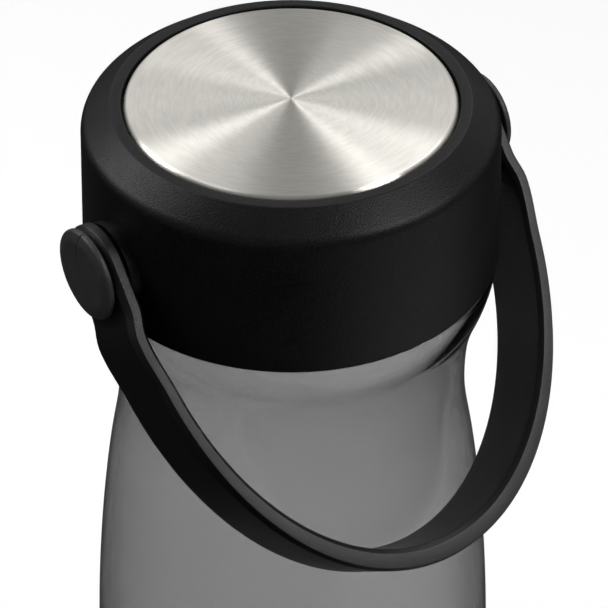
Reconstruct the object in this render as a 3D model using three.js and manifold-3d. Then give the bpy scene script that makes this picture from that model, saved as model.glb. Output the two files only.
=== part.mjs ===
import * as THREE from 'three';
import { mergeVertices } from 'three/addons/utils/BufferGeometryUtils.js';
import Module from 'manifold-3d';

// Reusable drinking bottle: a clear-tinted bottle with a vase-like waist, a black screw cap with
// a brushed steel disc in its top, and a carry strap that swings on two pivot buttons.
// Millimetres, +Z up. The origin is the centre of the plane the bottle stands on.
// The strap's pivots lie along X, and at rest the strap leans forward, to -Y, on the bottle.

const wasm = await Module();
wasm.setup();

// Whole object
const TOTAL_HEIGHT = 240;
const GAP = 0.3;
const ROUND_SEGMENTS = 48;
const SMALL_SEGMENTS = 24;
const FILLET_STEPS = 2;

// Rounds on moulded corners
const FINE_ROUND = 0.3;
const SMALL_ROUND = 0.5;
const BROAD_ROUND = 0.8;

// Bottle
const WALL = 2;
const BASE_RADIUS = 38.6;
const BASE_FILLET = 6;
const FOOT_INNER_RADIUS = 25;
const PAD_RADIUS = 9;
const UNDERSIDE_RECESS = 1.5;
const RECESS_SLOPE = 1.5;
const FLOOR_HEIGHT = 4.2;
const FLOOR_FILLET = 5;
const SIDE_START_HEIGHT = 24;
const SIDE_START_RADIUS = 39.1;
const INNER_CREASE_DROP = 0.8;
const SIDE_STEPS = 13;
const BELLY_RADIUS = 40;
const WAIST_RADIUS = 32.75;
const WAIST_HEIGHT = 179;
const CREASE_RADIUS = 37.7;
const CREASE_HEIGHT = 202.5;
const BAND_RADIUS = 38;
const LEDGE_HEIGHT = 208.3;
const REBATE_RADIUS = 37.2;
const SHOULDER_TOP = 210.2;
const SHOULDER_THICKNESS = 2.2;
const NECK_RADIUS = 28.6;
const MOUTH_RADIUS = 26.4;
const NECK_TOP = 231.2;

// Screw thread, right-handed: the cap rises one pitch for each turn to the left
const THREAD_PITCH = 5.6;
const THREAD_TURNS = 1.25;
const THREAD_HEIGHT = 1.3;
const THREAD_BASE = 2.4;
const THREAD_CREST = 1;
const THREAD_STEPS_PER_TURN = 32;
const THREAD_ROOT_SINK = 0.5;
const NECK_THREAD_START = 217;
const LINER_THREAD_START = NECK_THREAD_START - THREAD_PITCH / 2;

// Cap shell, whose thin lower lip comes down round the bottle's rebate to its ledge
const CAP_BOTTOM = LEDGE_HEIGHT + GAP;
const CAP_LIP_RADIUS = REBATE_RADIUS + GAP;
const CAP_LIP_TOP = SHOULDER_TOP + GAP;
const CAP_BOTTOM_RADIUS = 38.25;
const CAP_EDGE_RADIUS = 37.5;
const CAP_EDGE_HEIGHT = TOTAL_HEIGHT - 4.1;
const CAP_EDGE_ROUND = 3;
const RIM_OUTER_RADIUS = 32.2;
const RIM_INNER_RADIUS = 30.15;
const RIM_TOP = TOTAL_HEIGHT - 0.1;
const CAP_INNER_RADIUS = 36;
const CAP_TOP_THICKNESS = 2;

// Steel disc and its adhesive pad
const DISC_RADIUS = 29.7;
const DISC_THICKNESS = 1.4;
const DISC_EDGE_ROUND = 0.9;
const PAD_THICKNESS = 0.4;
const PAD_GAP = 0.05;
const ADHESIVE_RADIUS = 27.5;
const RECESS_FLOOR = TOTAL_HEIGHT - DISC_THICKNESS - PAD_THICKNESS - 2 * PAD_GAP;

// Threaded liner inside the cap, and the silicone seal under its roof
const LINER_INNER_RADIUS = 30.4;
const LINER_OUTER_RADIUS = 33;
const LINER_FLANGE_RADIUS = CAP_INNER_RADIUS - GAP;
const LINER_FLANGE_THICKNESS = 1.6;
const LINER_BOTTOM = SHOULDER_TOP + GAP;
const LINER_TOP = RECESS_FLOOR - CAP_TOP_THICKNESS - GAP;
const LINER_ROOF_THICKNESS = 2.2;
const SEAL_THICKNESS = 1.9;
const SEAL_INNER_RADIUS = MOUTH_RADIUS + 0.2;
const SEAL_OUTER_RADIUS = LINER_INNER_RADIUS - GAP;
const SEAL_CHAMFER = 0.6;

// Strap pivots
const PIVOT_HEIGHT = TOTAL_HEIGHT - 20.5;
const HOLE_RADIUS = 4.2;
const STUD_RADIUS = 3.9;
const BOSS_RADIUS = 8;
const BOSS_FACE = 38.9;
const BOSS_ROOT = CAP_INNER_RADIUS + 1;
const DRILL_REACH = 50;
const BUTTON_RADIUS = 8.5;
const BUTTON_RIM = 1.2;
const BUTTON_DOME = 0.85;
const BUTTON_DOME_EDGE = 1.6;
const BUTTON_DOME_EDGE_RISE = 0.45;
const BUTTON_DOME_ROUND = 1.5;
const RETAINER_RADIUS = 5.6;
const RETAINER_THICKNESS = 1;
const RETAINER_OUTER_FACE = 35.1;
const STUD_NECK_RADIUS = 2.5;
const STUD_NECK_CLEARANCE = 0.15;
const RETAINER_HOLE_RADIUS = STUD_NECK_RADIUS + STUD_NECK_CLEARANCE;
const RETAINER_SLOT_WIDTH = 4.4;
const STUD_TIP_RADIUS = 3.3;
const STUD_TIP_FACE = LINER_OUTER_RADIUS + 0.35;

// Carry strap: two arms, each with a knee below its eye, then half an ellipse across the front,
// thickest in the middle
const STRAP_LEAN_DEG = 38.7;
const STRAP_INNER_HALF = BOSS_FACE + GAP;
const STRAP_THICKNESS = 3.2;
const STRAP_BOW_THICKNESS = 4.1;
const STRAP_WIDTH = 17;
const STRAP_ARM = 13.5;
const STRAP_REACH = 67.9;
const STRAP_EDGE_ROUND = 0.8;
const STRAP_STEPS = 32;
const EYE_REACH = 8.6;
const KNEE_START = 8;
const KNEE_END = 24.5;
const KNEE_SWELL = 0.9;
const KNEE_STEPS = 4;

// Looks
const SMOKE = { colour: 0x6f7071, roughness: 0.12, metalness: 0 };
const BLACK = { colour: 0x17171a, roughness: 0.5, metalness: 0 };
const STEEL = { colour: 0xc9c6c0, roughness: 0.32, metalness: 1 };
const SEAL = { colour: 0xd8d8d4, roughness: 0.65, metalness: 0 };
const ADHESIVE = { colour: 0x8a8a86, roughness: 0.9, metalness: 0 };

function material(name, look) {
  const { colour, roughness, metalness } = look;
  const made = new THREE.MeshStandardMaterial({ color: colour, roughness, metalness });
  made.name = name;
  return made;
}

// Join equal vertices and drop the empty triangles a lathe leaves on its axis.
function closedGeometry(source) {
  const bare = source.clone();
  bare.deleteAttribute('normal');
  bare.deleteAttribute('uv');
  const merged = mergeVertices(bare, 1e-4);
  const kept = [];
  const index = merged.index.array;
  for (let i = 0; i < index.length; i += 3) {
    const [a, b, c] = [index[i], index[i + 1], index[i + 2]];
    if (a !== b && b !== c && a !== c) {
      kept.push(a, b, c);
    }
  }
  if (signedVolume(merged.attributes.position, kept) < 0) {
    kept.reverse();
  }
  merged.setIndex(kept);
  return merged;
}

function signedVolume(position, index) {
  const [a, b, c] = [new THREE.Vector3(), new THREE.Vector3(), new THREE.Vector3()];
  let six = 0;
  for (let i = 0; i < index.length; i += 3) {
    a.fromBufferAttribute(position, index[i]);
    b.fromBufferAttribute(position, index[i + 1]);
    c.fromBufferAttribute(position, index[i + 2]);
    six += a.dot(b.cross(c));
  }
  return six / 6;
}

function toManifold(geometry) {
  const closed = closedGeometry(geometry);
  return new wasm.Manifold(new wasm.Mesh({
    numProp: 3,
    vertProperties: new Float32Array(closed.attributes.position.array),
    triVerts: new Uint32Array(closed.index.array),
  }));
}

function fromManifold(solid) {
  const mesh = solid.getMesh();
  const geometry = new THREE.BufferGeometry();
  geometry.setAttribute('position', new THREE.BufferAttribute(new Float32Array(mesh.vertProperties), 3));
  geometry.setIndex(Array.from(mesh.triVerts));
  return geometry;
}

// Corners are [radius, height] or [radius, height, fillet], and a fillet becomes a short arc.
function filletedOutline(corners) {
  const outline = [];
  corners.forEach(([x, y, fillet = 0], i) => {
    const here = new THREE.Vector2(x, y);
    if (fillet === 0) {
      outline.push(here);
      return;
    }
    const before = new THREE.Vector2(corners[i - 1][0], corners[i - 1][1]).sub(here).normalize();
    const after = new THREE.Vector2(corners[i + 1][0], corners[i + 1][1]).sub(here).normalize();
    const halfAngle = Math.acos(before.dot(after)) / 2;
    const start = here.clone().addScaledVector(before, fillet / Math.tan(halfAngle));
    const bisector = before.clone().add(after).normalize();
    const centre = here.clone().addScaledVector(bisector, fillet / Math.sin(halfAngle));
    const turn = Math.PI - 2 * halfAngle;
    const side = Math.sign(before.cross(after));
    for (let step = 0; step <= FILLET_STEPS; step += 1) {
      outline.push(start.clone().rotateAround(centre, -side * turn * step / FILLET_STEPS));
    }
  });
  return outline;
}

// Turn an outline of (radius, height) points about the Z axis.
function turned(outline, segments = ROUND_SEGMENTS) {
  const points = outline.map((p) => new THREE.Vector2(Math.max(p.x, 0), p.y));
  return new THREE.LatheGeometry(points, segments).rotateX(Math.PI / 2);
}

function closedRing(corners, segments) {
  const outline = filletedOutline(corners);
  return turned([...outline, outline[0].clone()], segments);
}

function cylinderAlongX(radius, from, to) {
  const length = to - from;
  return new THREE.CylinderGeometry(radius, radius, length, SMALL_SEGMENTS)
    .rotateZ(Math.PI / 2)
    .translate((from + to) / 2, 0, PIVOT_HEIGHT);
}

function pivotDrill() {
  return toManifold(cylinderAlongX(HOLE_RADIUS, -DRILL_REACH, DRILL_REACH));
}

// A right-handed helical ridge whose root sits inside the wall it grows from.
function helicalRidge(wallRadius, direction, startHeight) {
  const root = wallRadius - direction * THREAD_ROOT_SINK;
  const crest = wallRadius + direction * THREAD_HEIGHT;
  const steps = Math.round(THREAD_TURNS * THREAD_STEPS_PER_TURN);
  const positions = [];
  const index = [];
  for (let step = 0; step <= steps; step += 1) {
    const angle = (step / THREAD_STEPS_PER_TURN) * 2 * Math.PI;
    const height = startHeight + (step / THREAD_STEPS_PER_TURN) * THREAD_PITCH;
    const section = [
      [root, -THREAD_BASE / 2],
      [crest, -THREAD_CREST / 2],
      [crest, THREAD_CREST / 2],
      [root, THREAD_BASE / 2],
    ];
    section.forEach(([radius, rise]) => {
      positions.push(radius * Math.cos(angle), radius * Math.sin(angle), height + rise);
    });
    if (step > 0) {
      const now = step * 4;
      for (let side = 0; side < 4; side += 1) {
        const next = (side + 1) % 4;
        index.push(now - 4 + side, now + side, now + next);
        index.push(now - 4 + side, now + next, now - 4 + next);
      }
    }
  }
  const last = steps * 4;
  index.push(0, 1, 2, 0, 2, 3);
  index.push(last, last + 2, last + 1, last, last + 3, last + 2);
  const geometry = new THREE.BufferGeometry();
  geometry.setAttribute('position', new THREE.Float32BufferAttribute(positions, 3));
  geometry.setIndex(index);
  return geometry;
}

// The bottle's outside from low on the wall, over the belly and the waist, to the crease.
function sideOutline() {
  const spline = new THREE.SplineCurve([
    new THREE.Vector2(SIDE_START_RADIUS, SIDE_START_HEIGHT),
    new THREE.Vector2(BELLY_RADIUS, 80),
    new THREE.Vector2(39.1, 118),
    new THREE.Vector2(37.4, 142),
    new THREE.Vector2(35.2, 160),
    new THREE.Vector2(33.3, 171),
    new THREE.Vector2(WAIST_RADIUS, WAIST_HEIGHT),
    new THREE.Vector2(33.2, 188),
    new THREE.Vector2(34.9, 195.6),
    new THREE.Vector2(CREASE_RADIUS, CREASE_HEIGHT),
  ]);
  return spline.getPoints(SIDE_STEPS);
}

function bottleBody() {
  const side = sideOutline();
  const inside = side.map((p) => new THREE.Vector2(p.x - WALL, p.y)).reverse();
  inside[0].y = CREASE_HEIGHT - INNER_CREASE_DROP;
  const insideRadius = inside[0].x;
  const lower = filletedOutline([
    [0, 0],
    [PAD_RADIUS, 0],
    [PAD_RADIUS + RECESS_SLOPE, UNDERSIDE_RECESS],
    [FOOT_INNER_RADIUS - RECESS_SLOPE, UNDERSIDE_RECESS],
    [FOOT_INNER_RADIUS, 0],
    [BASE_RADIUS, 0, BASE_FILLET],
    [side[0].x, side[0].y],
  ]);
  const upper = filletedOutline([
    [CREASE_RADIUS, CREASE_HEIGHT],
    [BAND_RADIUS, LEDGE_HEIGHT, FINE_ROUND],
    [REBATE_RADIUS, LEDGE_HEIGHT],
    [REBATE_RADIUS, SHOULDER_TOP, FINE_ROUND],
    [NECK_RADIUS, SHOULDER_TOP, BROAD_ROUND],
    [NECK_RADIUS, NECK_TOP, SMALL_ROUND],
    [MOUTH_RADIUS, NECK_TOP, SMALL_ROUND],
    [MOUTH_RADIUS, SHOULDER_TOP - SHOULDER_THICKNESS, BROAD_ROUND],
    [insideRadius, SHOULDER_TOP - SHOULDER_THICKNESS, BROAD_ROUND],
    [insideRadius, inside[0].y],
  ]);
  const floor = filletedOutline([
    [inside[inside.length - 1].x, inside[inside.length - 1].y],
    [BASE_RADIUS - WALL, FLOOR_HEIGHT, FLOOR_FILLET],
    [0, FLOOR_HEIGHT],
  ]);
  const outline = [...lower, ...side.slice(1), ...upper.slice(1), ...inside.slice(1), ...floor.slice(1)];
  const thread = toManifold(helicalRidge(NECK_RADIUS, 1, NECK_THREAD_START));
  return fromManifold(toManifold(turned(outline)).add(thread));
}

function capShell() {
  const shell = toManifold(turned(filletedOutline([
    [0, RECESS_FLOOR],
    [RIM_INNER_RADIUS, RECESS_FLOOR],
    [RIM_INNER_RADIUS, RIM_TOP, FINE_ROUND],
    [RIM_OUTER_RADIUS, RIM_TOP, FINE_ROUND],
    [CAP_EDGE_RADIUS, CAP_EDGE_HEIGHT, CAP_EDGE_ROUND],
    [CAP_BOTTOM_RADIUS, CAP_BOTTOM, FINE_ROUND],
    [CAP_LIP_RADIUS, CAP_BOTTOM],
    [CAP_LIP_RADIUS, CAP_LIP_TOP],
    [CAP_INNER_RADIUS, CAP_LIP_TOP, FINE_ROUND],
    [CAP_INNER_RADIUS, RECESS_FLOOR - CAP_TOP_THICKNESS, SMALL_ROUND],
    [0, RECESS_FLOOR - CAP_TOP_THICKNESS],
  ])));
  const leftBoss = toManifold(cylinderAlongX(BOSS_RADIUS, -BOSS_FACE, -BOSS_ROOT));
  const rightBoss = toManifold(cylinderAlongX(BOSS_RADIUS, BOSS_ROOT, BOSS_FACE));
  return fromManifold(shell.add(leftBoss).add(rightBoss).subtract(pivotDrill()));
}

function capLiner() {
  const cup = toManifold(turned(filletedOutline([
    [0, LINER_TOP],
    [LINER_FLANGE_RADIUS, LINER_TOP, FINE_ROUND],
    [LINER_FLANGE_RADIUS, LINER_TOP - LINER_FLANGE_THICKNESS],
    [LINER_OUTER_RADIUS, LINER_TOP - LINER_FLANGE_THICKNESS],
    [LINER_OUTER_RADIUS, LINER_BOTTOM + LINER_FLANGE_THICKNESS],
    [LINER_FLANGE_RADIUS, LINER_BOTTOM + LINER_FLANGE_THICKNESS],
    [LINER_FLANGE_RADIUS, LINER_BOTTOM],
    [LINER_INNER_RADIUS, LINER_BOTTOM, SMALL_ROUND],
    [LINER_INNER_RADIUS, LINER_TOP - LINER_ROOF_THICKNESS],
    [0, LINER_TOP - LINER_ROOF_THICKNESS],
  ])));
  const thread = toManifold(helicalRidge(LINER_INNER_RADIUS, -1, LINER_THREAD_START));
  return fromManifold(cup.add(thread));
}

function sealRing() {
  const top = LINER_TOP - LINER_ROOF_THICKNESS - PAD_GAP;
  return closedRing([
    [SEAL_INNER_RADIUS, top],
    [SEAL_INNER_RADIUS, top - SEAL_THICKNESS + SEAL_CHAMFER],
    [SEAL_INNER_RADIUS + SEAL_CHAMFER, top - SEAL_THICKNESS],
    [SEAL_OUTER_RADIUS - SEAL_CHAMFER, top - SEAL_THICKNESS],
    [SEAL_OUTER_RADIUS, top - SEAL_THICKNESS + SEAL_CHAMFER],
    [SEAL_OUTER_RADIUS, top],
  ]);
}

function steelDisc() {
  return turned(filletedOutline([
    [0, TOTAL_HEIGHT - DISC_THICKNESS],
    [DISC_RADIUS, TOTAL_HEIGHT - DISC_THICKNESS],
    [DISC_RADIUS, TOTAL_HEIGHT, DISC_EDGE_ROUND],
    [0, TOTAL_HEIGHT],
  ]));
}

function adhesivePad() {
  const bottom = RECESS_FLOOR + PAD_GAP;
  return turned(filletedOutline([
    [0, bottom],
    [ADHESIVE_RADIUS, bottom],
    [ADHESIVE_RADIUS, bottom + PAD_THICKNESS],
    [0, bottom + PAD_THICKNESS],
  ]));
}

// Swing a shape drawn hanging straight down about the pivots to the strap's resting lean.
function leanOnPivots(geometry) {
  return geometry
    .rotateX(Math.PI / 2 - THREE.MathUtils.degToRad(STRAP_LEAN_DEG))
    .translate(0, 0, PIVOT_HEIGHT);
}

// How far an arm stands out beyond its eye, at a distance below the pivot.
function kneeSwell(drop) {
  const rise = THREE.MathUtils.smoothstep(drop, KNEE_START, STRAP_ARM);
  const fall = THREE.MathUtils.smoothstep(drop, STRAP_ARM, KNEE_END);
  return KNEE_SWELL * (rise - fall);
}

function strapCurve(halfWidth, reach) {
  const arm = [new THREE.Vector2(halfWidth, 0)];
  for (let step = 0; step < KNEE_STEPS; step += 1) {
    const drop = KNEE_START + (STRAP_ARM - KNEE_START) * (step / KNEE_STEPS);
    arm.push(new THREE.Vector2(halfWidth + kneeSwell(drop), -drop));
  }
  const points = arm.map((point) => new THREE.Vector2(-point.x, point.y));
  for (let step = 0; step <= STRAP_STEPS; step += 1) {
    const angle = Math.PI * (1 + step / STRAP_STEPS);
    const across = Math.cos(angle);
    const drop = STRAP_ARM - (reach - STRAP_ARM) * Math.sin(angle);
    points.push(new THREE.Vector2(halfWidth * across + Math.sign(across) * kneeSwell(drop), -drop));
  }
  return [...points, ...arm.reverse()];
}

function strapBand() {
  const outer = strapCurve(STRAP_INNER_HALF + STRAP_THICKNESS, STRAP_REACH + STRAP_BOW_THICKNESS);
  const inner = strapCurve(STRAP_INNER_HALF, STRAP_REACH);
  const band = new THREE.ExtrudeGeometry(new THREE.Shape([...outer, ...inner.reverse()]), {
    depth: STRAP_WIDTH - 2 * STRAP_EDGE_ROUND,
    bevelEnabled: true,
    bevelThickness: STRAP_EDGE_ROUND,
    bevelSize: STRAP_EDGE_ROUND,
    bevelOffset: -STRAP_EDGE_ROUND,
    bevelSegments: 2,
  });
  return leanOnPivots(band.translate(0, 0, -STRAP_WIDTH / 2 + STRAP_EDGE_ROUND));
}

// The round end of one arm, drawn in side view, which runs down into the band.
function strapEye(side) {
  const half = STRAP_WIDTH / 2;
  const outline = new THREE.Shape();
  outline.moveTo(half, -EYE_REACH);
  outline.absarc(0, 0, half, 0, Math.PI, false);
  outline.lineTo(-half, -EYE_REACH);
  const eye = new THREE.ExtrudeGeometry(outline, {
    depth: STRAP_THICKNESS - 2 * STRAP_EDGE_ROUND,
    bevelEnabled: true,
    bevelThickness: STRAP_EDGE_ROUND,
    bevelSize: STRAP_EDGE_ROUND,
    bevelOffset: -STRAP_EDGE_ROUND,
    bevelSegments: 2,
    curveSegments: SMALL_SEGMENTS,
  });
  eye.translate(0, 0, STRAP_EDGE_ROUND + STRAP_INNER_HALF).rotateY(Math.PI / 2);
  if (side < 0) {
    eye.rotateY(Math.PI);
  }
  return leanOnPivots(eye);
}

function carryStrap() {
  const band = toManifold(strapBand());
  const leftEye = toManifold(strapEye(-1));
  const rightEye = toManifold(strapEye(1));
  return fromManifold(band.add(leftEye).add(rightEye).subtract(pivotDrill()));
}

// Turn a shape made about Z to point outward along X on one side of the cap.
function placeOnPivot(geometry, side) {
  return geometry.rotateY(side * Math.PI / 2).translate(0, 0, PIVOT_HEIGHT);
}

function pivotButton(side) {
  const underHead = STRAP_INNER_HALF + STRAP_THICKNESS + GAP;
  const rimTop = underHead + BUTTON_RIM;
  const neckStart = RETAINER_OUTER_FACE + GAP;
  const neckEnd = RETAINER_OUTER_FACE - RETAINER_THICKNESS - STUD_NECK_CLEARANCE;
  return placeOnPivot(turned(filletedOutline([
    [0, STUD_TIP_FACE],
    [STUD_TIP_RADIUS, STUD_TIP_FACE, FINE_ROUND],
    [STUD_TIP_RADIUS, neckEnd],
    [STUD_NECK_RADIUS, neckEnd],
    [STUD_NECK_RADIUS, neckStart],
    [STUD_RADIUS, neckStart],
    [STUD_RADIUS, underHead],
    [BUTTON_RADIUS, underHead],
    [BUTTON_RADIUS, rimTop, SMALL_ROUND],
    [BUTTON_RADIUS - BUTTON_DOME_EDGE, rimTop + BUTTON_DOME_EDGE_RISE, BUTTON_DOME_ROUND],
    [0, rimTop + BUTTON_DOME],
  ]), SMALL_SEGMENTS), side);
}

// A push-on retainer, open on its lower side so that it slides onto the stud's neck.
function studRetainer(side) {
  const inner = RETAINER_OUTER_FACE - RETAINER_THICKNESS;
  const ring = closedRing([
    [RETAINER_HOLE_RADIUS, inner],
    [RETAINER_RADIUS, inner],
    [RETAINER_RADIUS, RETAINER_OUTER_FACE],
    [RETAINER_HOLE_RADIUS, RETAINER_OUTER_FACE],
  ], SMALL_SEGMENTS);
  const slot = new THREE.BoxGeometry(4 * RETAINER_THICKNESS, RETAINER_SLOT_WIDTH, 2 * RETAINER_RADIUS)
    .translate(side * inner, 0, PIVOT_HEIGHT - RETAINER_RADIUS);
  return fromManifold(toManifold(placeOnPivot(ring, side)).subtract(toManifold(slot)));
}

const bottle = new THREE.Group();
bottle.name = 'drinking_bottle';

function addPiece(name, geometry, look) {
  const closed = closedGeometry(geometry).toNonIndexed();
  closed.computeVertexNormals();
  const mesh = new THREE.Mesh(closed, material(`${name}_look`, look));
  mesh.name = name;
  bottle.add(mesh);
}

addPiece('bottle_body', bottleBody(), SMOKE);
addPiece('cap_shell', capShell(), BLACK);
addPiece('cap_liner', capLiner(), BLACK);
addPiece('seal_ring', sealRing(), SEAL);
addPiece('steel_disc', steelDisc(), STEEL);
addPiece('disc_adhesive', adhesivePad(), ADHESIVE);
addPiece('carry_strap', carryStrap(), BLACK);
for (const [name, side] of [['left', -1], ['right', 1]]) {
  addPiece(`pivot_button_${name}`, pivotButton(side), BLACK);
  addPiece(`stud_retainer_${name}`, studRetainer(side), BLACK);
}

export default bottle;
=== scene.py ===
"""Looks for the smoke-tinted drinking bottle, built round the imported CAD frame.

Metres, +Z up. The origin is the centre of the plane the bottle stands on. The strap's pivots lie
along X, and at rest the strap leans to -Y.
"""

import math

import bmesh
import bpy
import numpy as np
from mathutils import Matrix, Vector


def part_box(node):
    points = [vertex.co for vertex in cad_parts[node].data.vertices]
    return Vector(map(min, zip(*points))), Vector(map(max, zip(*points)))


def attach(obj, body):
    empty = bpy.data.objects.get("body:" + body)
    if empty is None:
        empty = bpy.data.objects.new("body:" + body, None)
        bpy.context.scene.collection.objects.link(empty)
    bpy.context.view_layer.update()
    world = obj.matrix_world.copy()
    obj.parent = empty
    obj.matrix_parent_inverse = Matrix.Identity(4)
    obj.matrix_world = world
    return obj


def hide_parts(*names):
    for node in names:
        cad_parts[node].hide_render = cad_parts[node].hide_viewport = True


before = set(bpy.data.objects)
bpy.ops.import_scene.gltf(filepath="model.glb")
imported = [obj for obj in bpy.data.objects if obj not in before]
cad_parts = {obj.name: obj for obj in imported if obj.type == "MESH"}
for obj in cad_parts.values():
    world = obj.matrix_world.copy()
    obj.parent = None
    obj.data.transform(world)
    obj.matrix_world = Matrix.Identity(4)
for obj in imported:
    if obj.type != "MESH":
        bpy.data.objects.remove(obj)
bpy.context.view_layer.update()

MM = 0.001
GAP = 0.3 * MM
NEAR = 0.01 * MM
MERGE_DISTANCE = 1e-7
SHARP_ANGLE = math.radians(38)

# Steps round a turned skin, and steps in the arc of a fillet
TURN_STEPS = 168
SMALL_TURN_STEPS = 72
FILLET_STEPS = 5
BROAD_FILLET_STEPS = 8
CAP_FILLET_STEPS = 7
CREASE_STEPS = 16

# Rounds on moulded corners
FINE_ROUND = 0.3 * MM
SMALL_ROUND = 0.5 * MM
BROAD_ROUND = 0.8 * MM

# Driving sizes, read from the frame
DISC_LOW, DISC_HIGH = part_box("steel_disc")
SHELL_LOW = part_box("cap_shell")[0]
LINER_LOW, LINER_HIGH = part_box("cap_liner")
BODY_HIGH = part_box("bottle_body")[1]
SEAL_LOW, SEAL_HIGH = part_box("seal_ring")
BUTTON_LOW, BUTTON_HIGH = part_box("pivot_button_right")

TOP = DISC_HIGH.z
DISC_RADIUS = DISC_HIGH.x
CAP_BOTTOM = SHELL_LOW.z
NECK_TOP = BODY_HIGH.z
PIVOT_HEIGHT = (BUTTON_LOW.z + BUTTON_HIGH.z) / 2
PIVOT = Vector((0, 0, PIVOT_HEIGHT))

# Bottle, foot
WALL = 2 * MM
PAD_RADIUS = 9 * MM
RECESS_SLOPE = 1.5 * MM
UNDERSIDE_RECESS = 1.5 * MM
FOOT_INNER_RADIUS = 25 * MM
BASE_RADIUS = 38.6 * MM
BASE_FILLET = 6 * MM
FLOOR_HEIGHT = 4.2 * MM
FLOOR_FILLET = 5 * MM

# Bottle, side: (radius, height) from above the foot to the crease under the band
CREASE_HEIGHT = 202.5 * MM
CREASE_RADIUS = 37.7 * MM
CREASE_ROUND = 30 * MM
SIDE_POINTS = (
    (39.1 * MM, 24 * MM),
    (40 * MM, 80 * MM),
    (39.1 * MM, 118 * MM),
    (37.4 * MM, 142 * MM),
    (35.2 * MM, 160 * MM),
    (33.3 * MM, 171 * MM),
    (32.75 * MM, 179 * MM),
    (33.2 * MM, 188 * MM),
    (34.9 * MM, 195.6 * MM),
    (CREASE_RADIUS, CREASE_HEIGHT),
)
SIDE_STEPS = 90
STEPS_UNDER_CREASE = 8
EASING_PASSES = 7

# Bottle, band and neck
BAND_RADIUS = 38 * MM
LEDGE_HEIGHT = CAP_BOTTOM - GAP / 2
LEDGE_ROUND = 0.1 * MM
REBATE_RADIUS = 37.2 * MM
SHOULDER_TOP = 210.2 * MM
SHOULDER_THICKNESS = 2.2 * MM
NECK_RADIUS = 28.6 * MM
NECK_SHAFT_LOW = 212 * MM
NECK_SHAFT_HIGH = 229 * MM
MOUTH_RADIUS = 26.4 * MM

# Screw thread
THREAD_PITCH = 5.6 * MM
THREAD_TURNS = 1.25
THREAD_TAPERS_PER_TURN = 14
THREAD_HEIGHT = 1.3 * MM
THREAD_BASE = 2.4 * MM
THREAD_CREST = 1 * MM
THREAD_RING_SPACING = 0.35 * MM
NECK_THREAD_START = 217 * MM
LINER_THREAD_START = NECK_THREAD_START - THREAD_PITCH / 2

# Cap shell
RIM_TOP = TOP - 0.1 * MM
RIM_INNER_RADIUS = 30.15 * MM
RIM_OUTER_RADIUS = 32.2 * MM
RECESS_FLOOR = TOP - 1.9 * MM
CAP_TOP_THICKNESS = 2 * MM
CAP_EDGE_HEIGHT = TOP - 4.1 * MM
CAP_EDGE_RADIUS = 37.5 * MM
CAP_EDGE_ROUND = 3 * MM
CAP_BOTTOM_RADIUS = 38.25 * MM
CAP_LIP_RADIUS = 37.5 * MM
CAP_LIP_TOP = 210.5 * MM
CAP_INNER_RADIUS = 36 * MM

# Pivot bosses on the cap, and the hole through each
BOSS_RADIUS = 8 * MM
BOSS_ROOT = 37 * MM
BOSS_FACE = 38.9 * MM
PIVOT_HOLE_RADIUS = 4.2 * MM
DRILL_REACH = 50 * MM

# Liner, seal and disc
LINER_INNER_RADIUS = 30.4 * MM
LINER_OUTER_RADIUS = 33 * MM
LINER_FLANGE_THICKNESS = 1.6 * MM
LINER_TOP_ROUND = 0.4 * MM
LINER_MOUTH_ROUND = 0.6 * MM
LINER_BORE_START = 2 * MM
LINER_ROOF_THICKNESS = 2.2 * MM
LINER_BORE_RELIEF = 0.2 * MM
SEAL_CLEARANCE = 0.2 * MM
SEAL_TOP_ROUND = 0.2 * MM
SEAL_BOTTOM_ROUND = 0.6 * MM
DISC_UNDER_ROUND = 0.15 * MM
DISC_EDGE_ROUND = 0.9 * MM

# Strap
STRAP_LEAN = math.radians(38.7)
STRAP_THICKNESS = 3.2 * MM
STRAP_BOW_THICKNESS = 4.1 * MM
STRAP_INNER_HALF = BOSS_FACE + GAP
STRAP_WIDTH = 17 * MM
STRAP_ARM = 13.5 * MM
STRAP_REACH = 67.9 * MM
KNEE_START = 8 * MM
KNEE_END = 24.5 * MM
KNEE_SWELL = 0.9 * MM
ARM_BEVEL = 0.9 * MM
BOW_BEVEL = 0.3 * MM
OUTER_BEVEL_WIDTH = 1.3 * MM
OUTER_BEVEL_ROUND = 0.2 * MM
INNER_BEVEL = 0.7 * MM
INNER_BEVEL_WIDTH = 0.8 * MM
INNER_EDGE_ROUND = 0.15 * MM
INNER_FACE_ROUND = 0.3 * MM
STRAP_FILLET_STEPS = 4
FACE_SPACING = 2 * MM
BOW_STEPS = 160
ARM_STEPS = 14
END_STEPS = 40

# Pivot buttons: the head over the strap, the stud, and its neck for the retainer
HEAD_UNDERSIDE = STRAP_INNER_HALF + STRAP_THICKNESS + GAP
HEAD_RADIUS = 8.5 * MM
HEAD_RIM = 1.1 * MM
HEAD_RIM_ROUND = 0.7 * MM
DOME_EDGE_RADIUS = 6.6 * MM
DOME_EDGE_DROP = 0.15 * MM
DOME_EDGE_ROUND = 3 * MM
STUD_RADIUS = 3.9 * MM
STUD_TIP_RADIUS = 3.3 * MM
STUD_NECK_RADIUS = 2.5 * MM
STUD_NECK_INNER_END = 33.95 * MM
STUD_NECK_OUTER_END = 35.4 * MM


# ---------------------------------------------------------------- outlines

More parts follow.
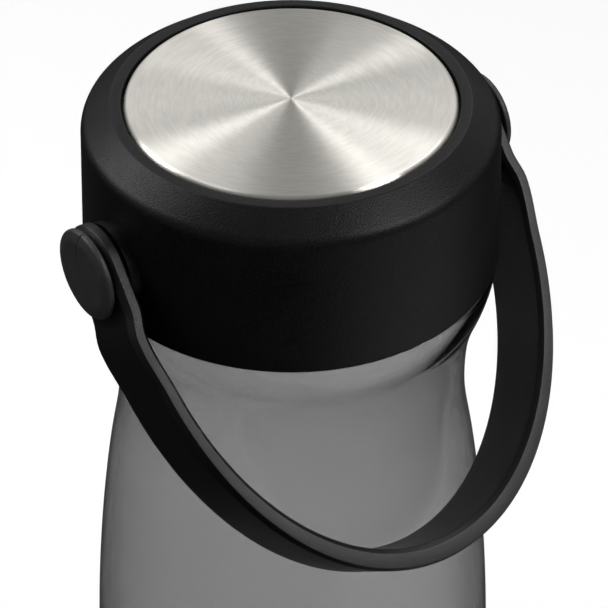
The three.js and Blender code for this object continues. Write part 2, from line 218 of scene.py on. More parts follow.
def filleted(corners, steps=FILLET_STEPS):
    """Corners are (radius, height) or (radius, height, fillet); a fillet becomes an arc."""
    outline = []
    for i, corner in enumerate(corners):
        here = Vector(corner[:2])
        if len(corner) == 2:
            outline.append(here)
            continue
        fillet = corner[2]
        before = (Vector(corners[i - 1][:2]) - here).normalized()
        after = (Vector(corners[(i + 1) % len(corners)][:2]) - here).normalized()
        half = before.angle(after) / 2
        start = here + before * (fillet / math.tan(half))
        centre = here + (before + after).normalized() * (fillet / math.sin(half))
        turn = (math.pi - 2 * half) * -math.copysign(1, before.cross(after))
        for step in range(steps + 1):
            arm = Matrix.Rotation(turn * step / steps, 2) @ (start - centre)
            outline.append(centre + arm)
    return outline


def spline(points, steps):
    """A smooth curve through the points, evenly spaced in its parameter."""
    points = [Vector(p) for p in points]
    last = len(points) - 1
    curve = []
    for step in range(steps + 1):
        place = step / steps * last
        i = min(int(place), last - 1)
        t = place - i
        p0, p1, p2, p3 = (points[max(0, min(last, i + k))] for k in (-1, 0, 1, 2))
        v0 = (p2 - p0) / 2
        v1 = (p3 - p1) / 2
        cubic = (2 * p1 - 2 * p2 + v0 + v1) * t ** 3
        square = (3 * p2 - 3 * p1 - 2 * v0 - v1) * t ** 2
        curve.append(cubic + square + v0 * t + p1)
    return curve


def offset(outline, inward):
    """The outline moved to its left by a distance, along its own normal at each point."""
    moved = []
    for i, point in enumerate(outline):
        before = outline[max(i - 1, 0)]
        after = outline[min(i + 1, len(outline) - 1)]
        heading = (after - before).normalized()
        moved.append(point + Vector((-heading.y, heading.x)) * inward)
    return moved


def eased_curve(outline):
    """The outline with its sudden changes of bend spread out, which clear plastic would show.

    Its two ends stay where they are.
    """
    for _ in range(EASING_PASSES):
        middle = [(a + 2 * b + c) / 4 for a, b, c in zip(outline, outline[1:], outline[2:])]
        outline = [outline[0]] + middle + [outline[-1]]
    return outline


def divided(start, end, spacing):
    """Points from start to end no further apart than spacing, without the first."""
    start, end = Vector(start), Vector(end)
    count = max(1, math.ceil((end - start).length / spacing))
    return [start.lerp(end, k / count) for k in range(1, count + 1)]


# ---------------------------------------------------------------- meshes

def add_object(name, bm, look, body, *nodes):
    """Finish a mesh, shade it, and let it stand for its CAD nodes on its body."""
    bmesh.ops.remove_doubles(bm, verts=bm.verts, dist=MERGE_DISTANCE)
    bmesh.ops.recalc_face_normals(bm, faces=bm.faces)
    mesh = bpy.data.meshes.new(name)
    bm.to_mesh(mesh)
    bm.free()
    mesh.shade_smooth()
    mesh.set_sharp_from_angle(angle=SHARP_ANGLE)
    mesh.materials.append(look.material)
    made = bpy.data.objects.new(name, mesh)
    bpy.context.scene.collection.objects.link(made)
    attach(made, body)
    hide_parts(*nodes)
    return made


def turn_outline(bm, outline, steps, closed=False, relief=None):
    """Turn (radius, height) points about Z into a skin. relief(angle, point) adds to the radius."""
    rings = []
    for point in outline:
        ring = []
        for step in range(steps):
            angle = 2 * math.pi * step / steps
            radius = max(point.x, 0)
            if relief and radius > 0:
                radius += relief(angle, point)
            spot = (radius * math.cos(angle), radius * math.sin(angle), point.y)
            ring.append(bm.verts.new(spot))
        rings.append(ring)
    pairs = list(zip(rings, rings[1:]))
    if closed:
        pairs.append((rings[-1], rings[0]))
    for low, high in pairs:
        for step in range(steps):
            after = (step + 1) % steps
            bm.faces.new((low[step], low[after], high[after], high[step]))


def thread_relief(angle, height, start):
    """Height of the helical ridge at an angle and a height, tapered off at both ends."""
    ridge = 0
    for whole in range(math.ceil(THREAD_TURNS) + 1):
        turns = whole + angle / (2 * math.pi)
        if turns > THREAD_TURNS:
            continue
        aside = abs(height - start - THREAD_PITCH * turns)
        slope = (THREAD_BASE / 2 - aside) / ((THREAD_BASE - THREAD_CREST) / 2)
        taper = min(1, min(turns, THREAD_TURNS - turns) * THREAD_TAPERS_PER_TURN)
        ridge = max(ridge, THREAD_HEIGHT * min(1, max(0, slope)) * taper)
    return ridge


def side_outline():
    """The bottle's side as (radius, height): the flare, then the crease's round up to the band."""
    flare = spline(SIDE_POINTS, SIDE_STEPS)[:-STEPS_UNDER_CREASE]
    crease = filleted([
        tuple(flare[-1]),
        (CREASE_RADIUS, CREASE_HEIGHT, CREASE_ROUND),
        (BAND_RADIUS, LEDGE_HEIGHT),
    ], CREASE_STEPS)
    return eased_curve(flare + crease[1:-1])


def foot_outline(side_start):
    """The underside, with a pad in the middle of its recess, and the round up to the side."""
    return filleted([
        (0, 0),
        (PAD_RADIUS, 0),
        (PAD_RADIUS + RECESS_SLOPE, UNDERSIDE_RECESS, BROAD_ROUND),
        (FOOT_INNER_RADIUS - RECESS_SLOPE, UNDERSIDE_RECESS, BROAD_ROUND),
        (FOOT_INNER_RADIUS, 0, SMALL_ROUND),
        (BASE_RADIUS, 0, BASE_FILLET),
        tuple(side_start),
    ], BROAD_FILLET_STEPS)


def neck_outline(side_end, inside_end):
    """The ledge, the shoulder, the neck with rings for its thread, and the way back inside."""
    under_shoulder = SHOULDER_TOP - SHOULDER_THICKNESS
    shoulder = filleted([
        tuple(side_end),
        (BAND_RADIUS, LEDGE_HEIGHT, LEDGE_ROUND),
        (REBATE_RADIUS, LEDGE_HEIGHT),
        (REBATE_RADIUS, SHOULDER_TOP, FINE_ROUND),
        (NECK_RADIUS, SHOULDER_TOP, BROAD_ROUND),
        (NECK_RADIUS, NECK_SHAFT_LOW),
    ])
    shaft = divided((NECK_RADIUS, NECK_SHAFT_LOW), (NECK_RADIUS, NECK_SHAFT_HIGH), THREAD_RING_SPACING)
    mouth = filleted([
        (NECK_RADIUS, NECK_SHAFT_HIGH),
        (NECK_RADIUS, NECK_TOP, SMALL_ROUND),
        (MOUTH_RADIUS, NECK_TOP, SMALL_ROUND),
        (MOUTH_RADIUS, under_shoulder, BROAD_ROUND),
        (inside_end.x, under_shoulder, BROAD_ROUND),
        tuple(inside_end),
    ])
    return shoulder[1:] + shaft + mouth[1:]


def floor_outline(inside_start):
    """The round from the inside of the side down to the floor, and the floor."""
    return filleted([
        tuple(inside_start),
        (BASE_RADIUS - WALL, FLOOR_HEIGHT, FLOOR_FILLET),
        (0, FLOOR_HEIGHT),
    ], BROAD_FILLET_STEPS)


def make_bottle(look):
    side = side_outline()
    inside = offset(side, WALL)
    outline = foot_outline(side[0]) + side[1:] + neck_outline(side[-1], inside[-1])
    outline += list(reversed(inside))[1:] + floor_outline(inside[0])[1:]

    def neck_thread(angle, point):
        on_outside = abs(point.x - NECK_RADIUS) < NEAR and point.y > NECK_SHAFT_LOW
        return thread_relief(angle, point.y, NECK_THREAD_START) if on_outside else 0

    bm = bmesh.new()
    turn_outline(bm, outline, TURN_STEPS, relief=neck_thread)
    made = add_object("smoke_bottle", bm, look, "bottle", "bottle_body")


def combined(base, other, operation):
    """The union or difference of two closed meshes, which are used up."""
    works = []
    for bm in (base, other):
        mesh = bpy.data.meshes.new("work")
        bmesh.ops.remove_doubles(bm, verts=bm.verts, dist=MERGE_DISTANCE)
        bmesh.ops.recalc_face_normals(bm, faces=bm.faces)
        bm.to_mesh(mesh)
        bm.free()
        work = bpy.data.objects.new("work", mesh)
        bpy.context.scene.collection.objects.link(work)
        works.append(work)
    modifier = works[0].modifiers.new("combine", "BOOLEAN")
    modifier.operation = operation
    modifier.solver = "EXACT"
    modifier.object = works[1]
    result = bmesh.new()
    result.from_object(works[0], bpy.context.evaluated_depsgraph_get())
    for work in works:
        bpy.data.meshes.remove(work.data)
    return result


def lay_on_pivot(bm, side):
    """Turn a mesh made about Z to lie along X, pointing out to one side at the pivot's height."""
    bm.transform(Matrix.Translation(PIVOT) @ Matrix.Rotation(side * math.pi / 2, 4, "Y"))
    return bm


def solid_cylinder(radius, low, high):
    bm = bmesh.new()
    corners = ((0, low), (radius, low), (radius, high), (0, high))
    turn_outline(bm, [Vector(corner) for corner in corners], SMALL_TURN_STEPS)
    return bm


def drill_pivots(bm):
    """Cut one hole right across along X, through both pivots."""
    drill = lay_on_pivot(solid_cylinder(PIVOT_HOLE_RADIUS, -DRILL_REACH, DRILL_REACH), 1)
    return combined(bm, drill, "DIFFERENCE")


def make_cap_shell(look):
    under_top = RECESS_FLOOR - CAP_TOP_THICKNESS
    bm = bmesh.new()
    turn_outline(bm, filleted([
        (0, RECESS_FLOOR),
        (RIM_INNER_RADIUS, RECESS_FLOOR),
        (RIM_INNER_RADIUS, RIM_TOP, FINE_ROUND),
        (RIM_OUTER_RADIUS, RIM_TOP, BROAD_ROUND),
        (CAP_EDGE_RADIUS, CAP_EDGE_HEIGHT, CAP_EDGE_ROUND),
        (CAP_BOTTOM_RADIUS, CAP_BOTTOM, FINE_ROUND),
        (CAP_LIP_RADIUS, CAP_BOTTOM),
        (CAP_LIP_RADIUS, CAP_LIP_TOP),
        (CAP_INNER_RADIUS, CAP_LIP_TOP, FINE_ROUND),
        (CAP_INNER_RADIUS, under_top, SMALL_ROUND),
        (0, under_top),
    ], CAP_FILLET_STEPS), TURN_STEPS)
    for side in (-1, 1):
        boss = lay_on_pivot(solid_cylinder(BOSS_RADIUS, BOSS_ROOT, BOSS_FACE), side)
        bm = combined(bm, boss, "UNION")
    made = add_object("black_cap", drill_pivots(bm), look, "cap", "cap_shell")


def make_liner(look):
    flange, bottom, top = LINER_HIGH.x, LINER_LOW.z, LINER_HIGH.z
    roof = top - LINER_ROOF_THICKNESS
    bore_low = (LINER_INNER_RADIUS, bottom + LINER_BORE_START)
    bore_high = (LINER_INNER_RADIUS, roof - LINER_BORE_RELIEF)
    outline = filleted([
        (0, top),
        (flange, top, LINER_TOP_ROUND),
        (flange, top - LINER_FLANGE_THICKNESS),
        (LINER_OUTER_RADIUS, top - LINER_FLANGE_THICKNESS),
        (LINER_OUTER_RADIUS, bottom + LINER_FLANGE_THICKNESS),
        (flange, bottom + LINER_FLANGE_THICKNESS),
        (flange, bottom, FINE_ROUND),
        (LINER_INNER_RADIUS, bottom, LINER_MOUTH_ROUND),
        bore_low,
    ])
    outline += divided(bore_low, bore_high, THREAD_RING_SPACING)
    outline += [Vector((LINER_INNER_RADIUS, roof)), Vector((0, roof))]

    def inner_thread(angle, point):
        on_inside = abs(point.x - LINER_INNER_RADIUS) < NEAR
        return -thread_relief(angle, point.y, LINER_THREAD_START) if on_inside else 0

    bm = bmesh.new()
    turn_outline(bm, outline, TURN_STEPS, relief=inner_thread)
    made = add_object("threaded_liner", bm, look, "cap", "cap_liner")


def make_seal(look):
    low, high = SEAL_LOW.z, SEAL_HIGH.z
    inner, outer = MOUTH_RADIUS + SEAL_CLEARANCE, SEAL_HIGH.x
    bm = bmesh.new()
    turn_outline(bm, filleted([
        (inner, high, SEAL_TOP_ROUND),
        (inner, low, SEAL_BOTTOM_ROUND),
        (outer, low, SEAL_BOTTOM_ROUND),
        (outer, high, SEAL_TOP_ROUND),
    ]), TURN_STEPS, closed=True)
    made = add_object("silicone_seal", bm, look, "seal", "seal_ring")


def make_disc(look):
    bm = bmesh.new()
    turn_outline(bm, filleted([
        (0, DISC_LOW.z),
        (DISC_RADIUS, DISC_LOW.z, DISC_UNDER_ROUND),
        (DISC_RADIUS, TOP, DISC_EDGE_ROUND),
        (0, TOP),
    ], BROAD_FILLET_STEPS), TURN_STEPS)
    made = add_object("brushed_disc", bm, look, "cap", "steel_disc")


def make_button(side, name, look):
    button = bmesh.new()
    turn_outline(button, filleted([
        (0, BUTTON_LOW.x),
        (STUD_TIP_RADIUS, BUTTON_LOW.x, FINE_ROUND),
        (STUD_TIP_RADIUS, STUD_NECK_INNER_END),
        (STUD_NECK_RADIUS, STUD_NECK_INNER_END),
        (STUD_NECK_RADIUS, STUD_NECK_OUTER_END),
        (STUD_RADIUS, STUD_NECK_OUTER_END),
        (STUD_RADIUS, HEAD_UNDERSIDE),
        (HEAD_RADIUS, HEAD_UNDERSIDE, FINE_ROUND),
        (HEAD_RADIUS, HEAD_UNDERSIDE + HEAD_RIM, HEAD_RIM_ROUND),
        (DOME_EDGE_RADIUS, BUTTON_HIGH.x - DOME_EDGE_DROP, DOME_EDGE_ROUND),
        (0, BUTTON_HIGH.x),
    ], CAP_FILLET_STEPS), SMALL_TURN_STEPS)
    made = add_object(f"strap_button_{name}", lay_on_pivot(button, side), look, "cap",
                      f"pivot_button_{name}")


# ---------------------------------------------------------------- strap

def eased(value, start, end):
    """Rise smoothly from 0 at the start to 1 at the end."""
    share = min(1, max(0, (value - start) / (end - start)))
    return share * share * (3 - 2 * share)


def knee_swell(drop):
    """How far an arm stands out beyond its eye, at a distance below the pivot."""
    return KNEE_SWELL * (eased(drop, KNEE_START, STRAP_ARM) - eased(drop, STRAP_ARM, KNEE_END))


def strap_line():
    """The strap from the left pivot to the right one, at its skin inside and its skin outside.

    Each is a list of (x, drop): an arm with a knee, half an ellipse, and the other arm.
    """
    skins = []
    for half, reach in (
        (STRAP_INNER_HALF, STRAP_REACH),
        (STRAP_INNER_HALF + STRAP_THICKNESS, STRAP_REACH + STRAP_BOW_THICKNESS),
    ):
        drops = np.linspace(0, STRAP_ARM, ARM_STEPS)
        arm = [Vector((half + knee_swell(drop), drop)) for drop in drops]
        bow = []
        for step in range(1, BOW_STEPS):
            angle = math.pi * step / BOW_STEPS
            across = -math.cos(angle)
            drop = STRAP_ARM + (reach - STRAP_ARM) * math.sin(angle)
            swell = math.copysign(knee_swell(drop), across)
            bow.append(Vector((half * across + swell, drop)))
        left = [Vector((-p.x, p.y)) for p in arm]
        skins.append(left + bow + list(reversed(arm)))
    return skins


def strap_section(bevel):
    """Half of the strap's section, from its middle over the edge, with a bevel on each skin.

    Points are (across, share): the share goes from 1 on the outside skin to -1 on the inside.
    """
    half = STRAP_WIDTH / 2
    face = STRAP_THICKNESS / 2
    corners = filleted([
        (0, face),
        (half - OUTER_BEVEL_WIDTH, face, OUTER_BEVEL_ROUND),
        (half, face - bevel, OUTER_BEVEL_ROUND),
        (half, -face + INNER_BEVEL, INNER_EDGE_ROUND),
        (half - INNER_BEVEL_WIDTH, -face, INNER_FACE_ROUND),
        (0, -face),
    ], STRAP_FILLET_STEPS)
    first, last = corners[0], corners[-1]
    over = divided(first, corners[1], FACE_SPACING)[:-1]
    under = divided(corners[-2], last, FACE_SPACING)[:-1]
    outline = [first] + over + corners[1:-1] + under + [last]
    return [Vector((p.x, p.y / face)) for p in outline]


def strap_space(spot, across):
    """A point beside the strap's middle plane: spot is (x, drop), across is out of that plane."""
    down = Vector((0, -math.sin(STRAP_LEAN), -math.cos(STRAP_LEAN)))
    front = Vector((0, -math.cos(STRAP_LEAN), math.sin(STRAP_LEAN)))
    return PIVOT + Vector((spot.x, 0, 0)) + down * spot.y + front * across


def add_strap_run(bm):
    """The arms and the bow between the pivots, whose outer bevel gets smaller towards the bow."""
    inner, outer = strap_line()
    rings = []
    for low, high in zip(inner, outer):
        fade = eased(low.y, KNEE_END, STRAP_REACH)
        section = strap_section(ARM_BEVEL + (BOW_BEVEL - ARM_BEVEL) * fade)
        loop = section + [Vector((-p.x, p.y)) for p in reversed(section[1:-1])]
        middle = (low + high) / 2
        reach = (high - low) / 2
        rings.append([bm.verts.new(strap_space(middle + reach * p.y, p.x)) for p in loop])
    for low, high in zip(rings, rings[1:]):
        for k in range(len(low)):
            after = (k + 1) % len(low)
            bm.faces.new((low[k], low[after], high[after], high[k]))


def add_strap_eye(bm, side):
    """The round end over one pivot: half of the section, turned half a turn."""
    half = STRAP_INNER_HALF + STRAP_THICKNESS / 2
    section = strap_section(ARM_BEVEL)
    arcs = []
    for step in range(END_STEPS + 1):
        turn = math.pi * step / END_STEPS
        arc = []
        for p in section:
            x = side * (half + p.y * STRAP_THICKNESS / 2)
            spot = Vector((x, -p.x * math.sin(turn)))
            arc.append(bm.verts.new(strap_space(spot, p.x * math.cos(turn))))
        arcs.append(arc)
    for low, high in zip(arcs, arcs[1:]):
        for k in range(len(section) - 1):
            bm.faces.new((low[k], low[k + 1], high[k + 1], high[k]))


def make_strap(look):
    bm = bmesh.new()
    add_strap_run(bm)
    for side in (-1, 1):
        add_strap_eye(bm, side)
    made = add_object("black_strap", drill_pivots(bm), look, "strap", "carry_strap")


# ---------------------------------------------------------------- materials

# Colours are linear. A noise texture's values lie mostly between these two.
NOISE_LOW = 0.3
NOISE_HIGH = 0.7

# Black plastics: darkest and lightest tone, middle roughness, specular level
CAP_BLACK = ((0.001, 0.008), 0.34, 0.17)
STRAP_BLACK = ((0.0005, 0.003), 0.4, 0.42)
BUTTON_BLACK = ((0.008, 0.032), 0.46, 0.42)
INNER_BLACK = ((0.01, 0.018), 0.5, 0.3)
GLOSS_DRIFT = 0.04
DRIFT_SCALE = 90
DRIFT_SHARE = 0.4
SPECKLE_SHARE = 0.6
SPECKLE_FROM = 0.4
SPECKLE_TO = 0.65
GRAIN_SCALE = 4200
GRAIN_DEPTH = 0.065 * MM

# The moulding line on a button's head, a little off its middle
PARTING_OFFSET = 0.5 * MM
PARTING_WAVER = 0.3 * MM
PARTING_WAVER_SCALE = 350
PARTING_WIDTH = 0.3 * MM
PARTING_DEPTH = 0.2 * MM
PARTING_FADE = 4 * MM

# Smoke plastic
SMOKE_SURFACE = (0.97, 0.97, 0.97, 1)
SMOKE_TINT = (0.04, 0.04, 0.04, 1)
SMOKE_DENSITY = 314
SMOKE_IOR = 1.55
SMOKE_ROUGHNESS = (0.02, 0.06)
SMOKE_DRIFT_SCALE = 35
SMOKE_RIPPLE_SCALE = 60
SMOKE_RIPPLE_STRENGTH = 0.05
SMOKE_RIPPLE_DEPTH = 0.3 * MM

# Brushed steel
STEEL_DARK = (0.6, 0.585, 0.545)
STEEL_LIGHT = (0.69, 0.67, 0.62)
STEEL_ROUGHNESS = (0.3, 0.34)
QUARTER_TURN = 0.25
BRUSH_SCALE = 2200
BRUSH_GLOSS_SCALE = BRUSH_SCALE / 4
BRUSH_SPREAD = 0.003

# Soft materials inside: two tones, two roughness limits, and noise scales for tone, gloss and bump
SILICONE_TONES = ((0.6, 0.6, 0.58), (0.74, 0.74, 0.72))
SILICONE_ROUGHNESS = (0.55, 0.7)
SILICONE_SCALES = (400, 900, 3000)
SILICONE_BUMP = (0.2, 0.05 * MM)
SILICONE_SCATTER = 0.2
SILICONE_SCATTER_DEPTH = 2 * MM
FOAM_TONES = ((0.2, 0.2, 0.19), (0.32, 0.32, 0.3))
FOAM_ROUGHNESS = (0.8, 0.95)
FOAM_SCALES = (1500, 700, 2500)
FOAM_BUMP = (0.5, 0.1 * MM)


class Look:
    """A node material with a short way to add nodes and link them."""

    def __init__(self, name):
        self.material = bpy.data.materials.new(name)
        self.material.use_nodes = True
        self.tree = self.material.node_tree
        self.shader = self.tree.nodes["Principled BSDF"]
        self.output = self.tree.nodes["Material Output"]
        self.coordinates = self.node("ShaderNodeTexCoord").outputs["Object"]

    def node(self, kind, **values):
        made = self.tree.nodes.new(kind)
        for key, value in values.items():
            setattr(made, key, value)
        return made

    def link(self, source, target):
        self.tree.links.new(source, target)

    def feed(self, value, target):
        """Link a socket to an input, or set the input to a plain number."""
        if isinstance(value, bpy.types.NodeSocket):
            self.link(value, target)
        else:
            target.default_value = value

    def math(self, operation, first, second=0.0):
        made = self.node("ShaderNodeMath", operation=operation)
        self.feed(first, made.inputs[0])
        self.feed(second, made.inputs[1])
        return made.outputs["Value"]

    def vector_math(self, operation, first, second=(0, 0, 0)):
        made = self.node("ShaderNodeVectorMath", operation=operation)
        self.feed(first, made.inputs[0])
        self.feed(second, made.inputs[1])
        return made.outputs["Vector"]

    def set(self, **values):
        for key, value in values.items():
            self.shader.inputs[key.replace("_", " ")].default_value = value

    def noise(self, scale, detail=2.0, roughness=0.5, vector=None):
        made = self.node("ShaderNodeTexNoise")
        made.inputs["Scale"].default_value = scale
        made.inputs["Detail"].default_value = detail
        made.inputs["Roughness"].default_value = roughness
        self.link(vector or self.coordinates, made.inputs["Vector"])
        return made.outputs["Fac"]

    def remap(self, value, low, high, new_low, new_high):
        made = self.node("ShaderNodeMapRange")
        made.inputs["From Min"].default_value = low
        made.inputs["From Max"].default_value = high
        made.inputs["To Min"].default_value = new_low
        made.inputs["To Max"].default_value = new_high
        self.link(value, made.inputs["Value"])
        return made.outputs["Result"]

    def tint(self, value, dark, light):
        """Colour the shader between two linear colours, by a value from 0 to 1."""
        mix = self.node("ShaderNodeMix", data_type="RGBA")
        first, second = (socket for socket in mix.inputs if socket.type == "RGBA")
        first.default_value = (*dark, 1)
        second.default_value = (*light, 1)
        self.link(value, mix.inputs["Factor"])
        result = next(socket for socket in mix.outputs if socket.type == "RGBA")
        self.link(result, self.shader.inputs["Base Color"])

    def gloss(self, value, low, high):
        """Set the shader's roughness between two limits, by a noise."""
        rough = self.remap(value, NOISE_LOW, NOISE_HIGH, low, high)
        self.link(rough, self.shader.inputs["Roughness"])

    def bump(self, height, strength, distance):
        """Raise the surface by a height, on top of any bumps made before."""
        made = self.node("ShaderNodeBump")
        made.inputs["Strength"].default_value = strength
        made.inputs["Distance"].default_value = distance
        self.link(height, made.inputs["Height"])
        for earlier in self.shader.inputs["Normal"].links:
            self.link(earlier.from_socket, made.inputs["Normal"])
        self.link(made.outputs["Normal"], self.shader.inputs["Normal"])


def black_plastic(name, tones, roughness, specular):
    """Moulded black plastic: a fine spark-eroded grain, and a slow drift in tone and gloss."""
    look = Look(name)
    look.set(Specular_IOR_Level=specular)
    drift = look.noise(DRIFT_SCALE, 3)
    speckle = look.remap(look.noise(GRAIN_SCALE, 1), SPECKLE_FROM, SPECKLE_TO, 0, 1)
    slow = look.math("MULTIPLY", drift, DRIFT_SHARE)
    fine = look.math("MULTIPLY", speckle, SPECKLE_SHARE)
    dark, light = tones
    look.tint(look.math("ADD", slow, fine), (dark, dark, dark), (light, light, light))
    look.gloss(drift, roughness - GLOSS_DRIFT, roughness + GLOSS_DRIFT)
    look.bump(look.noise(GRAIN_SCALE, 2, 0.6), 1, GRAIN_DEPTH)
    return look


def moulded_button():
    """Black plastic with the faint parting line that its mould leaves across the head."""
    look = black_plastic("button_black", *BUTTON_BLACK)
    parts = look.node("ShaderNodeSeparateXYZ")
    look.link(look.coordinates, parts.inputs["Vector"])
    wave = look.noise(PARTING_WAVER_SCALE, 2)
    waver = look.remap(wave, NOISE_LOW, NOISE_HIGH, -PARTING_WAVER, PARTING_WAVER)
    line = look.math("ADD", waver, PARTING_OFFSET)
    aside = look.math("ABSOLUTE", look.math("SUBTRACT", parts.outputs["Y"], line))
    groove = look.remap(aside, 0, PARTING_WIDTH, 1, 0)
    fade = look.remap(parts.outputs["Z"], PIVOT_HEIGHT - PARTING_FADE, PIVOT_HEIGHT, 0, 1)
    look.bump(look.math("MULTIPLY", groove, fade), 1, -PARTING_DEPTH)
    return look


def smoke_plastic():
    """Clear plastic tinted smoke grey all through, with a faint unevenness in its gloss."""
    look = Look("smoke_plastic")
    look.set(Base_Color=SMOKE_SURFACE, IOR=SMOKE_IOR, Transmission_Weight=1.0)
    look.gloss(look.noise(SMOKE_DRIFT_SCALE, 2), *SMOKE_ROUGHNESS)
    look.bump(look.noise(SMOKE_RIPPLE_SCALE, 2), SMOKE_RIPPLE_STRENGTH, SMOKE_RIPPLE_DEPTH)
    absorption = look.node("ShaderNodeVolumeAbsorption")
    absorption.inputs["Color"].default_value = SMOKE_TINT
    absorption.inputs["Density"].default_value = SMOKE_DENSITY
    look.link(absorption.outputs["Volume"], look.output.inputs["Volume"])
    return look


def brushed_steel():
    """Steel brushed in circles: fine arcs about the middle, and a highlight fanned out across them."""
    look = Look("brushed_steel")
    look.set(Metallic=1.0, Anisotropic=1.0, Anisotropic_Rotation=QUARTER_TURN)
    tangent = look.node("ShaderNodeTangent", direction_type="RADIAL", axis="Z")
    look.link(tangent.outputs["Tangent"], look.shader.inputs["Tangent"])
    flat = look.vector_math("MULTIPLY", look.coordinates, (1, 1, 0))
    radius = look.node("ShaderNodeVectorMath", operation="LENGTH")
    look.link(flat, radius.inputs[0])
    heading = look.vector_math("NORMALIZE", flat)
    turn = look.vector_math("MULTIPLY", heading, (BRUSH_SPREAD, BRUSH_SPREAD, 0))
    ring_place = look.node("ShaderNodeCombineXYZ")
    look.link(radius.outputs["Value"], ring_place.inputs["Z"])
    placed = look.vector_math("ADD", turn, ring_place.outputs["Vector"])
    lines = look.noise(BRUSH_SCALE, 2, 0.5, placed)
    look.tint(look.remap(lines, NOISE_LOW, NOISE_HIGH, 0, 1), STEEL_DARK, STEEL_LIGHT)
    look.gloss(look.noise(BRUSH_GLOSS_SCALE, 2, 0.5, placed), *STEEL_ROUGHNESS)
    return look


def soft_material(name, tones, roughness, scales, bump):
    """A matt material with a noise for its tone, one for its gloss and one for its bump."""
    look = Look(name)
    tone_scale, gloss_scale, bump_scale = scales
    look.tint(look.noise(tone_scale, 3), *tones)
    look.gloss(look.noise(gloss_scale, 2), *roughness)
    look.bump(look.noise(bump_scale, 2), *bump)
    return look


def silicone():
    """Pale translucent silicone with a powdery surface."""
    look = soft_material("silicone", SILICONE_TONES, SILICONE_ROUGHNESS, SILICONE_SCALES, SILICONE_BUMP)
    look.set(Subsurface_Weight=SILICONE_SCATTER, Subsurface_Scale=SILICONE_SCATTER_DEPTH)
    return look


def adhesive_foam():
    """Grey foam tape."""
    return soft_material("adhesive_foam", FOAM_TONES, FOAM_ROUGHNESS, FOAM_SCALES, FOAM_BUMP)


def wear_look(node, look):
    """Give a CAD node that stays in the picture its finished material."""
    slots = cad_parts[node].data.materials
    slots.clear()
    slots.append(look.material)


# ---------------------------------------------------------------- stage, lights and camera

CAMERA_TURN = math.radians(-34.4)
CAMERA_DROP = math.radians(38.6)
CAMERA_REACH = 439.9 * MM
CAMERA_ABOVE_TOP = 304.5 * MM
CAMERA_ASIDE = 2.3 * MM
CAMERA_LENS = 178.3
CAMERA_SENSOR = 36
CAMERA_NEAREST = 10 * MM
AIM = Vector((0, 0, 0.2))

FLOOR_TONE = 0.92
FLOOR_DRIFT = 0.01
FLOOR_HALF_SIZE = 6
FLOOR_DROP = 0.3 * MM

# Strengths of the world behind the object, in front of it, below it and at the glow
WORLD_BACK = 0.5
WORLD_FRONT = 0.25
WORLD_BELOW = 0.05
WORLD_GLOW = 0.55
GLOW_TURN = math.radians(64)
GLOW_DROP = math.radians(38)

# Where each strength starts and ends, as the cosine of the angle from its axis
BACK_FADE = (-0.2, 0.6)
BELOW_FADE = (-0.15, 0.1)
GLOW_FADE = (0.75, 0.98)

# Softboxes: name, degrees right of the camera, degrees up, distance, size and power
SOFTBOXES = (
    ("back_right_softbox", 146, 53, 1.1, (0.45, 0.45), 1.7),
    ("right_softbox", 66, 41, 1.1, (0.35, 0.5), 6.5),
    ("left_softbox", -108, 38, 1.1, (0.35, 0.5), 5.6),
    ("high_left_softbox", -128, 64, 1.1, (0.5, 0.4), 1.1),
    ("right_panel", 158, 38, 1.3, (0.5, 0.6), 0.8),
    ("left_panel", -158, 38, 1.3, (0.5, 0.6), 0.8),
)


def towards(turn):
    """The level direction from the axis to a viewer who stands at that turn from -Y."""
    return Vector((math.sin(turn), -math.cos(turn), 0))


def add_camera():
    data = bpy.data.cameras.new("camera")
    data.sensor_width = CAMERA_SENSOR
    data.lens = CAMERA_LENS
    data.clip_start = CAMERA_NEAREST
    camera = bpy.data.objects.new("camera", data)
    to_camera = towards(CAMERA_TURN)
    to_right = towards(CAMERA_TURN + math.pi / 2)
    height = Vector((0, 0, TOP + CAMERA_ABOVE_TOP))
    camera.location = to_camera * CAMERA_REACH + to_right * CAMERA_ASIDE + height
    camera.rotation_euler = (math.pi / 2 - CAMERA_DROP, 0, CAMERA_TURN)
    bpy.context.scene.collection.objects.link(camera)
    bpy.context.scene.camera = camera


def add_soft_light(name, turn, height, distance, size, power):
    """A rectangular softbox, turn degrees to the right of the camera and height degrees up."""
    data = bpy.data.lights.new(name, "AREA")
    data.shape = "RECTANGLE"
    data.size, data.size_y = size
    data.energy = power
    light = bpy.data.objects.new(name, data)
    level = towards(CAMERA_TURN + math.radians(turn))
    rise = math.radians(height)
    heading = level * math.cos(rise) + Vector((0, 0, math.sin(rise)))
    light.location = AIM + heading * distance
    light.rotation_euler = (AIM - light.location).to_track_quat("-Z", "Y").to_euler()
    bpy.context.scene.collection.objects.link(light)


def add_floor():
    look = Look("floor")
    look.tint(look.noise(3, 2), (FLOOR_TONE - FLOOR_DRIFT,) * 3, (FLOOR_TONE + FLOOR_DRIFT,) * 3)
    look.set(Roughness=0.9, Specular_IOR_Level=0.1)
    bm = bmesh.new()
    bmesh.ops.create_grid(bm, x_segments=1, y_segments=1, size=FLOOR_HALF_SIZE)
    mesh = bpy.data.meshes.new("floor")
    bm.to_mesh(mesh)
    bm.free()
    mesh.materials.append(look.material)
    floor = bpy.data.objects.new("floor", mesh)
    floor.location.z = -FLOOR_DROP
    floor.visible_glossy = False
    bpy.context.scene.collection.objects.link(floor)


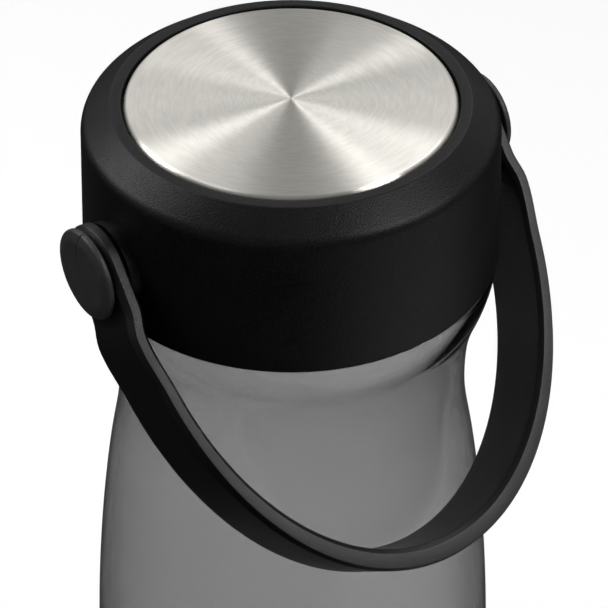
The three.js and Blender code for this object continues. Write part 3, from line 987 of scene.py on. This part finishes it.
def add_world():
    """A white studio wall behind the object, a dimmer room in front, and little light from below.

    One pale glow, low on the right of the camera, is the only bright place below.
    """
    world = bpy.data.worlds.new("studio")
    world.use_nodes = True
    tree = world.node_tree
    place = tree.nodes.new("ShaderNodeTexCoord")

    def blend(axis, low, high, fade):
        """A strength that goes from low to high as the direction turns towards the axis."""
        lean = tree.nodes.new("ShaderNodeVectorMath")
        lean.operation = "DOT_PRODUCT"
        lean.inputs[1].default_value = axis
        step = tree.nodes.new("ShaderNodeMapRange")
        step.inputs["From Min"].default_value = fade[0]
        step.inputs["From Max"].default_value = fade[1]
        step.inputs["To Min"].default_value = low
        step.inputs["To Max"].default_value = high
        tree.links.new(place.outputs["Generated"], lean.inputs[0])
        tree.links.new(lean.outputs["Value"], step.inputs["Value"])
        return step.outputs["Result"]

    strength = tree.nodes.new("ShaderNodeMath")
    strength.operation = "MULTIPLY"
    back = blend(-towards(CAMERA_TURN), WORLD_FRONT, WORLD_BACK, BACK_FADE)
    tree.links.new(back, strength.inputs[0])
    tree.links.new(blend((0, 0, 1), WORLD_BELOW, 1, BELOW_FADE), strength.inputs[1])
    level = towards(CAMERA_TURN + GLOW_TURN)
    glow = level * math.cos(GLOW_DROP) - Vector((0, 0, math.sin(GLOW_DROP)))
    total = tree.nodes.new("ShaderNodeMath")
    total.operation = "ADD"
    tree.links.new(strength.outputs["Value"], total.inputs[0])
    tree.links.new(blend(glow, 0, WORLD_GLOW, GLOW_FADE), total.inputs[1])
    background = tree.nodes["Background"]
    background.inputs["Color"].default_value = (1, 1, 1, 1)
    tree.links.new(total.outputs["Value"], background.inputs["Strength"])
    bpy.context.scene.world = world


bpy.context.scene.view_settings.view_transform = "Standard"
add_camera()
add_floor()
add_world()
for softbox in SOFTBOXES:
    add_soft_light(*softbox)

cap_black = black_plastic("cap_black", *CAP_BLACK)
strap_black = black_plastic("strap_black", *STRAP_BLACK)
button_black = moulded_button()
inner_black = black_plastic("inner_black", *INNER_BLACK)

make_bottle(smoke_plastic())
make_cap_shell(cap_black)
make_liner(inner_black)
make_seal(silicone())
make_disc(brushed_steel())
make_button(-1, "left", button_black)
make_button(1, "right", button_black)
make_strap(strap_black)
wear_look("disc_adhesive", adhesive_foam())
for side_name in ("left", "right"):
    wear_look(f"stud_retainer_{side_name}", inner_black)
